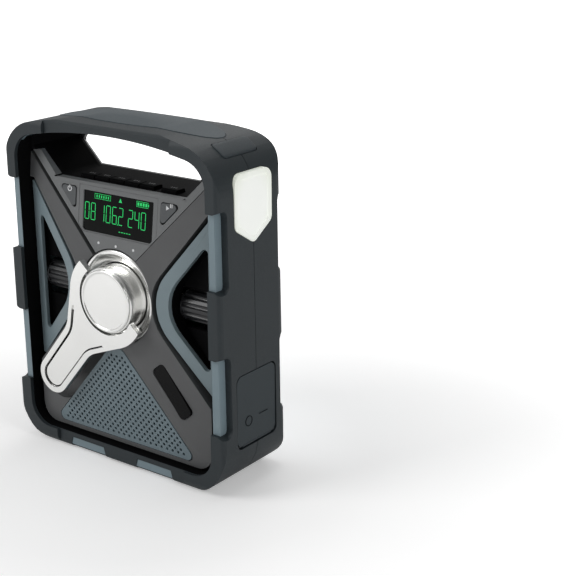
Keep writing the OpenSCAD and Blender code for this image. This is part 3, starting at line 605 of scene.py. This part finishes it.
class RADIO_OT_display(bpy.types.Operator):
    """Display window, bezel, lit segments, indicator lights and the two buttons"""

    bl_idname = "radio.display"
    bl_label = "Display"

    SEVEN = {"0": "abcdef", "1": "bc", "2": "abged", "4": "bcfg", "6": "acdefg", "8": "abcdefg"}

    def digit(self, bm, text, x, y, width, height, thick, matrix):
        """One digit of seven straight segments, low corner at x, y."""
        gap, half = thick * 0.25, height / 2
        left, right = x + thick / 2, x + width - thick / 2
        ends = {
            "a": ((left, y + height), (right, y + height)),
            "g": ((left, y + half), (right, y + half)),
            "d": ((left, y), (right, y)),
            "f": ((left, y + half), (left, y + height)),
            "b": ((right, y + half), (right, y + height)),
            "e": ((left, y), (left, y + half)),
            "c": ((right, y), (right, y + half)),
        }
        for key in self.SEVEN[text]:
            a, b = (Vector(p) for p in ends[key])
            along = (b - a).normalized()
            a, b = a + along * (thick / 2 + gap), b - along * (thick / 2 + gap)
            side = Vector((-along.y, along.x)) * thick / 2
            nib = along * thick / 2
            points = [a - nib, a + side, b + side, b + nib, b - side, a - side]
            plate(bm, [tuple(p) for p in points[::-1]], matrix, INK)

    def execute(self, context):
        show, edge = context.scene.radio_display, context.scene.radio_sizes.hard_edge
        rounded("lcd_bezel", "fascia", edge * 0.5)
        wear("lcd_glass", "glass")
        for node in ("power_button", "play_button"):
            rounded(node, "key", edge * 1.2)
        wear("indicator_leds", "mark")
        wear("display_board", "board")
        plane = face_plane("lcd_glass", 0.02 * MM)
        body, slot = body_of("lcd_glass"), slot_of("lcd_glass")
        bm = bmesh.new()
        for start, text in ((-23.2, "08"), (-12.6, "1062"), (7.0, "240")):
            for k, figure in enumerate(text):
                x = start * MM + k * show.digit_pitch
                self.digit(bm, figure, x, 6.0 * MM, show.digit_width, show.digit_height, show.segment, plane)
        plate(bm, block(-0.35 * MM, 0.05 * MM, 5.6 * MM, 6.2 * MM), plane, INK)
        # frames of the battery and of the level meter, then a triangle and a row of dashes
        for x0, x1, y0, y1 in ((12.2, 20.0, 17.1, 17.3), (12.2, 20.0, 19.8, 20.0), (12.2, 12.4, 17.3, 19.8),
                               (19.8, 20.0, 17.3, 19.8), (20.0, 20.5, 18.0, 19.1), (-16.6, -5.4, 17.2, 17.4),
                               (-16.6, -5.4, 19.7, 19.9), (-16.6, -16.4, 17.4, 19.7), (-5.6, -5.4, 17.4, 19.7)):
            plate(bm, block(x0 * MM, x1 * MM, y0 * MM, y1 * MM), plane, INK)
        plate(bm, [(0.2 * MM, 17.4 * MM), (2.4 * MM, 17.4 * MM), (1.3 * MM, 19.5 * MM)], plane, INK)
        for k in range(5):
            plate(bm, block((1.0 + 1.7 * k) * MM, (2.1 + 1.7 * k) * MM, 2.2 * MM, 2.6 * MM), plane, INK)
        add_piece("display_segments", bm, "digits", body)
        for name, count, pitch, size, at in (
            ("battery_bars", (4, 1), 1.75, (1.2, 1.6), (16.1, 18.55)),
            ("level_bars", (show.bars, 1), 1.6, (0.7, 1.4), (-11.0, 18.55)),
        ):
            where = plane @ Matrix.Translation((at[0] * MM, at[1] * MM, 0.02 * MM))
            grid_blocks(name, count, (pitch * MM, 0), (size[0] * MM, size[1] * MM, INK), where,
                        "digits", body)
        self.button_marks(context)
        return {"FINISHED"}

    def button_marks(self, context):
        """Plain switch and play marks, on their own buttons."""
        width = context.scene.radio_sizes.icon_line
        thick = 0.05 * MM
        plane = face_plane("power_button", 0.01 * MM)
        middle = 8.4 * MM
        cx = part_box("power_button")[1].x - 4.3 * MM
        bm = bmesh.new()
        plate(bm, band(cx, middle, 1.25 * MM, width, 125, 415), plane, thick)
        line(bm, (cx, middle + 0.2 * MM), (cx, middle + 1.9 * MM), width, plane, thick)
        add_piece("power_mark", bm, "mark", "power_key")
        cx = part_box("play_button")[0].x + 3.6 * MM
        bm = bmesh.new()
        plate(bm, [(cx, 6.6 * MM), (cx + 2.0 * MM, 7.8 * MM), (cx, 9.0 * MM)], plane, thick)
        for k in (0, 1):
            x = cx + 2.5 * MM + k * 0.95 * MM
            plate(bm, block(x, x + 0.5 * MM, 8.2 * MM, 10.2 * MM), plane, thick)
        add_piece("play_mark", bm, "mark", "play_key")


class RADIO_OT_deck(bpy.types.Operator):
    """Handle deck with its row of keys"""

    bl_idname = "radio.deck"
    bl_label = "Deck and keys"

    def execute(self, context):
        edge = context.scene.radio_sizes.hard_edge
        rounded("handle_deck", "black", edge * 1.5, 3)
        for k in range(1, 7):
            node = f"deck_key_{k}"
            rounded(node, "black", edge)
            low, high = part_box(node)
            at = Matrix.Translation(((low.x + high.x) / 2, (low.y + high.y) / 2 + 0.3 * MM, high.z - 0.02 * MM))
            grid_blocks(f"key_mark_{k}", (3, 1), (1.5 * MM, 0), (0.5 * MM, 1.6 * MM, 0.12 * MM), at, "face",
                        body_of(node))
        return {"FINISHED"}


class RADIO_OT_crank(bpy.types.Operator):
    """Dish, drum, cap, folding lever, pins and thumb disc"""

    bl_idname = "radio.crank"
    bl_label = "Crank"

    def execute(self, context):
        edge = context.scene.radio_sizes.crank_edge
        rounded("crank_arm", "chrome", edge, 4)
        rounded("crank_cap", "turned", edge * 0.4, 3)
        rounded("crank_drum", "turned", edge * 0.6, 3)
        rounded("crank_dish", "turned", edge * 0.5, 3)
        rounded("crank_knob", "black", edge * 0.4)
        wear("crank_pins", "steel")
        # adds the strip of painted shade round the lever's dished panel
        self.seam()
        return {"FINISHED"}

    def seam(self):
        """Black strip of painted shade at the foot of the lever's dished panel, where the recess wall lies in
        shadow.
        """
        fold = next(j for j in frame["record"]["behaviour"]["joints"] if j["name"] == "crank_fold")
        across = -Vector(fold["axis"])
        out = Vector((0, -1, 0))
        along = across.cross(out)
        plane = Matrix((along, across, out)).transposed().to_4x4()
        plane.translation = Vector((HUB.x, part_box("crank_arm")[0].y + 0.8 * MM, HUB.z))
        # one side in millimetres: out from the yoke, in at the waist, along the lever and round its tip
        yoke, waist, end = (22.9, 12.7), (33.5, 6.75), (71.3, 6.55)
        side = [yoke] + fillet(yoke, waist, end, 16)
        tip = fillet((40, 6.6), end, (71.3, -6.55), 6.5) + fillet(end, (71.3, -6.55), (40, -6.6), 6.5)
        path = side + tip + [(x, -y) for x, y in side[::-1]]
        bm = bmesh.new()
        strip(bm, [(x * MM, y * MM) for x, y in path], 0.8 * MM, plane, 0.06 * MM)
        # painted shade: a thin black strip stands in for the shadow of the dished panel's wall
        add_piece("crank_painted_shade", bm, "black", "crank_lever")


class RADIO_OT_rollers(bpy.types.Operator):
    """Ribbed tuning and volume rollers with their brackets"""

    bl_idname = "radio.rollers"
    bl_label = "Rollers"

    def execute(self, context):
        edge = context.scene.radio_sizes.hard_edge
        rounded("tuning_knob", "roller", edge)
        rounded("volume_knob", "roller", edge)
        wear("roller_brackets", "black")
        return {"FINISHED"}


class RADIO_OT_handle(bpy.types.Operator):
    """Grip inlay and the lamp switch on the shoulder"""

    bl_idname = "radio.handle"
    bl_label = "Handle top"

    def execute(self, context):
        edge = context.scene.radio_sizes.hard_edge
        rounded("grip_pad", "grip", edge)
        rounded("light_button", "flap", edge * 1.4, 3)
        low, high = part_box("light_button")
        joints = frame["record"]["behaviour"]["joints"]
        out = -Vector(next(j["axis"] for j in joints if j["name"] == "shoulder_press"))
        across = Vector((0, 1, 0))
        up = out.cross(across)
        plane = Matrix((across, up, out)).transposed().to_4x4()
        plane.translation = Vector(((low.x + high.x) / 2, 0, (low.z + high.z) / 2)) + out * 1.35 * MM
        width = context.scene.radio_sizes.icon_line * 0.7
        bm = bmesh.new()
        plate(bm, band(0, 0.6 * MM, 1.1 * MM, width, -60, 240), plane, 0.1 * MM)
        for y in (-0.9, -1.5):
            line(bm, (-0.7 * MM, y * MM), (0.7 * MM, y * MM), width, plane, 0.1 * MM)
        add_piece("lamp_mark", bm, "black", body_of("light_button"))
        return {"FINISHED"}


class RADIO_OT_lamps(bpy.types.Operator):
    """Side lamps: lit lens, reflector and emitter"""

    bl_idname = "radio.lamps"
    bl_label = "Side lamps"

    def execute(self, context):
        c, edge = context.scene.radio_colours, context.scene.radio_sizes.hard_edge
        for side in ("right", "left"):
            node = f"lamp_lens_{side}"
            low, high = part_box(node)
            centre, half = (low + high) / 2, (high - low) / 2
            FINISH[node] = lit(f"Lamp lens {side}", c.lamp, 0.32, c.lamp_edge, centre, half * 1.12)
            rounded(node, node, edge * 2, 4)
        wear("lamp_reflectors", "steel")
        wear("lamp_leds", "emitter")
        return {"FINISHED"}


class RADIO_OT_ports(bpy.types.Operator):
    """Port cover, bay and sockets"""

    bl_idname = "radio.ports"
    bl_label = "Ports"

    def execute(self, context):
        edge = context.scene.radio_sizes.hard_edge
        rounded("port_cover", "flap", edge * 1.3, 3)
        rounded("port_bay", "black", edge * 0.6)
        for node, finish in (("usb_a_socket", "steel"), ("micro_usb_socket", "steel"), ("port_cover_pin", "screw"),
                             ("port_panel", "black"), ("aux_jack", "black")):
            wear(node, finish)
        low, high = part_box("port_cover")
        thick = 0.12 * MM
        plane = Matrix((Vector((0, 1, 0)), Vector((0, 0, 1)), Vector((1, 0, 0)))).transposed().to_4x4()
        plane.translation = Vector((high.x - 0.02 * MM, 0, 0))
        width = context.scene.radio_sizes.icon_line * 0.6
        bm = bmesh.new()
        ring(bm, -6.5 * MM, low.z + 13 * MM, 2.6 * MM, width, plane, thick)
        line(bm, (2.0 * MM, low.z + 14 * MM), (9.0 * MM, low.z + 14 * MM), width, plane, thick)
        add_piece("cover_mark", bm, "black", body_of("port_cover"))
        return {"FINISHED"}


class RADIO_OT_rear(bpy.types.Operator):
    """Rear cover, latch and the hinged lantern door"""

    bl_idname = "radio.rear"
    bl_label = "Rear"

    def execute(self, context):
        edge = context.scene.radio_sizes.hard_edge
        rounded("rear_cover", "face", edge)
        rounded("latch_slider", "trim", edge)
        rounded("light_door", "face", edge * 1.4, 3)
        rounded("light_diffuser", "lantern", edge)
        wear("light_board", "white_board")
        wear("door_pins", "screw")
        wear("case_screws", "screw")
        return {"FINISHED"}


class RADIO_OT_inside(bpy.types.Operator):
    """Boards, battery, gears and generator inside the housing"""

    bl_idname = "radio.inside"
    bl_label = "Inside"

    def execute(self, context):
        for node, finish in (("battery_pack", "cell"), ("main_board", "board"),
                             ("drive_gear", "nylon"), ("pinion", "brass"), ("generator", "steel"),
                             ("generator_shaft", "steel")):
            wear(node, finish)
        return {"FINISHED"}


class RADIO_OT_stage(bpy.types.Operator):
    """Floor, backdrop, world, lights and camera"""

    bl_idname = "radio.stage"
    bl_label = "Stage"

    def area(self, name, at, to, size, power, tint=(1, 1, 1)):
        data = bpy.data.lights.new(name, "AREA")
        data.shape = "RECTANGLE"
        data.size, data.size_y = size
        data.energy = power
        data.color = tint
        lamp = bpy.data.objects.new(name, data)
        lamp.location = at
        lamp.rotation_mode = "QUATERNION"
        lamp.rotation_quaternion = (Vector(to) - Vector(at)).to_track_quat("-Z", "Y")
        bpy.context.collection.objects.link(lamp)

    def backdrop(self, tone):
        """A pale floor that takes the shadow and fades to plain white away from the radio."""
        s = Shader("Backdrop", tone, 0.9)
        far = s.node("ShaderNodeVectorMath")
        far.operation = "LENGTH"
        s.link(s.place, far.inputs[0])
        path = s.node("ShaderNodeLightPath")
        seen = path.outputs["Is Camera Ray"]
        for ray in ("Is Transmission Ray", "Is Glossy Ray"):
            step = s.node("ShaderNodeMath")
            step.operation = "MULTIPLY_ADD"
            s.link(path.outputs[ray], step.inputs[0])
            step.inputs[1].default_value = 0.35
            s.link(seen, step.inputs[2])
            seen = step.outputs[0]
        glow = s.node("ShaderNodeMath")
        glow.operation = "MULTIPLY"
        s.link(s.ranged(far.outputs["Value"], 0.30, 1.0, 0.12, 0.55), glow.inputs[0])
        s.link(seen, glow.inputs[1])
        s.bsdf.inputs["Emission Color"].default_value = (1, 1, 1, 1)
        s.link(glow.outputs[0], s.bsdf.inputs["Emission Strength"])
        return s.mat

    def execute(self, context):
        stage, scene = context.scene.radio_stage, context.scene
        bm = bmesh.new()
        for x, y in block(-4, 4, -4, 4):
            bm.verts.new((x, y, 0))
        bm.faces.new(bm.verts)
        mesh = bpy.data.meshes.new("floor")
        bm.to_mesh(mesh)
        bm.free()
        mesh.materials.append(self.backdrop(stage.floor))
        floor = bpy.data.objects.new("floor", mesh)
        scene.collection.objects.link(floor)

        world = bpy.data.worlds.new("Studio")
        scene.world = world
        world.use_nodes = True
        tree = world.node_tree
        back = tree.nodes["Background"]
        back.inputs["Color"].default_value = (1, 1, 1, 1)
        # what shines is brighter on the left than on the right
        side = tree.nodes.new("ShaderNodeSeparateXYZ")
        tree.links.new(tree.nodes.new("ShaderNodeTexCoord").outputs["Generated"], side.inputs[0])
        shine = tree.nodes.new("ShaderNodeMapRange")
        for i, value in enumerate((-0.6, 0.6, 0.62, 0.14), 1):
            shine.inputs[i].default_value = value
        tree.links.new(side.outputs["X"], shine.inputs["Value"])
        path = tree.nodes.new("ShaderNodeLightPath")
        level = path.outputs["Is Camera Ray"]
        for ray, strength in (("Is Transmission Ray", 1.0), ("Is Glossy Ray", shine), ("Is Diffuse Ray", 0.20)):
            step = tree.nodes.new("ShaderNodeMath")
            step.operation = "MULTIPLY_ADD"
            tree.links.new(path.outputs[ray], step.inputs[0])
            if strength is shine:
                tree.links.new(shine.outputs["Result"], step.inputs[1])
            else:
                step.inputs[1].default_value = strength
            tree.links.new(level, step.inputs[2])
            level = step.outputs[0]
        tree.links.new(level, back.inputs["Strength"])

        self.area("Key", (-0.55, -0.75, 0.75), (0, 0, 0.09), (0.5, 0.6), 4.4)
        self.area("Side", (0.9, -0.15, 0.45), (0, 0, 0.1), (0.35, 0.7), 2.0)
        self.area("Top", (0.0, 0.15, 0.95), (0, 0, 0.1), (0.6, 0.4), 1.15)
        self.area("Back", (-0.25, 0.9, 0.55), (0, 0, 0.1), (0.6, 0.5), 1.8)

        data = bpy.data.cameras.new("Camera")
        data.sensor_width = 36
        data.lens = stage.lens
        camera = bpy.data.objects.new("Camera", data)
        camera.location = stage.eye
        turn = Matrix.Rotation(math.radians(stage.azimuth), 3, "Z")
        turn = turn @ Matrix.Rotation(math.radians(90 - stage.elevation), 3, "X")
        turn = turn @ Matrix.Rotation(math.radians(stage.roll), 3, "Z")
        camera.rotation_mode = "QUATERNION"
        camera.rotation_quaternion = turn.to_quaternion()
        scene.collection.objects.link(camera)
        scene.camera = camera
        scene.view_settings.view_transform = "Standard"
        return {"FINISHED"}


class RADIO_PT_panel(bpy.types.Panel):
    """Lists the radio's steps in the sidebar"""

    bl_idname = "RADIO_PT_panel"
    bl_label = "Emergency radio"
    bl_space_type = "VIEW_3D"
    bl_region_type = "UI"
    bl_category = "Radio"

    def draw(self, context):
        for step in STEPS:
            self.layout.operator(step.bl_idname)
        for group, owner in (("radio_colours", RadioColours), ("radio_sizes", RadioSizes),
                             ("radio_display", RadioDisplay), ("radio_stage", RadioStage)):
            box = self.layout.box()
            for key in owner.__annotations__:
                box.prop(getattr(context.scene, group), key)


STEPS = (
    RADIO_OT_stage, RADIO_OT_bumpers, RADIO_OT_shells, RADIO_OT_face, RADIO_OT_display, RADIO_OT_deck,
    RADIO_OT_crank, RADIO_OT_rollers, RADIO_OT_handle, RADIO_OT_lamps, RADIO_OT_ports, RADIO_OT_rear,
    RADIO_OT_inside,
)
GROUPS = {
    "radio_colours": RadioColours, "radio_sizes": RadioSizes, "radio_display": RadioDisplay,
    "radio_stage": RadioStage,
}


def register():
    for cls in (*GROUPS.values(), *STEPS, RADIO_PT_panel):
        bpy.utils.register_class(cls)
    for name, group in GROUPS.items():
        setattr(bpy.types.Scene, name, PointerProperty(type=group))


def unregister():
    for name in GROUPS:
        delattr(bpy.types.Scene, name)
    for cls in (RADIO_PT_panel, *STEPS[::-1], *GROUPS.values()):
        bpy.utils.unregister_class(cls)


def main():
    register()
    for step in STEPS:
        name = step.bl_idname.split(".")[1]
        getattr(bpy.ops.radio, name)()


if __name__ == "__main__":
    main()
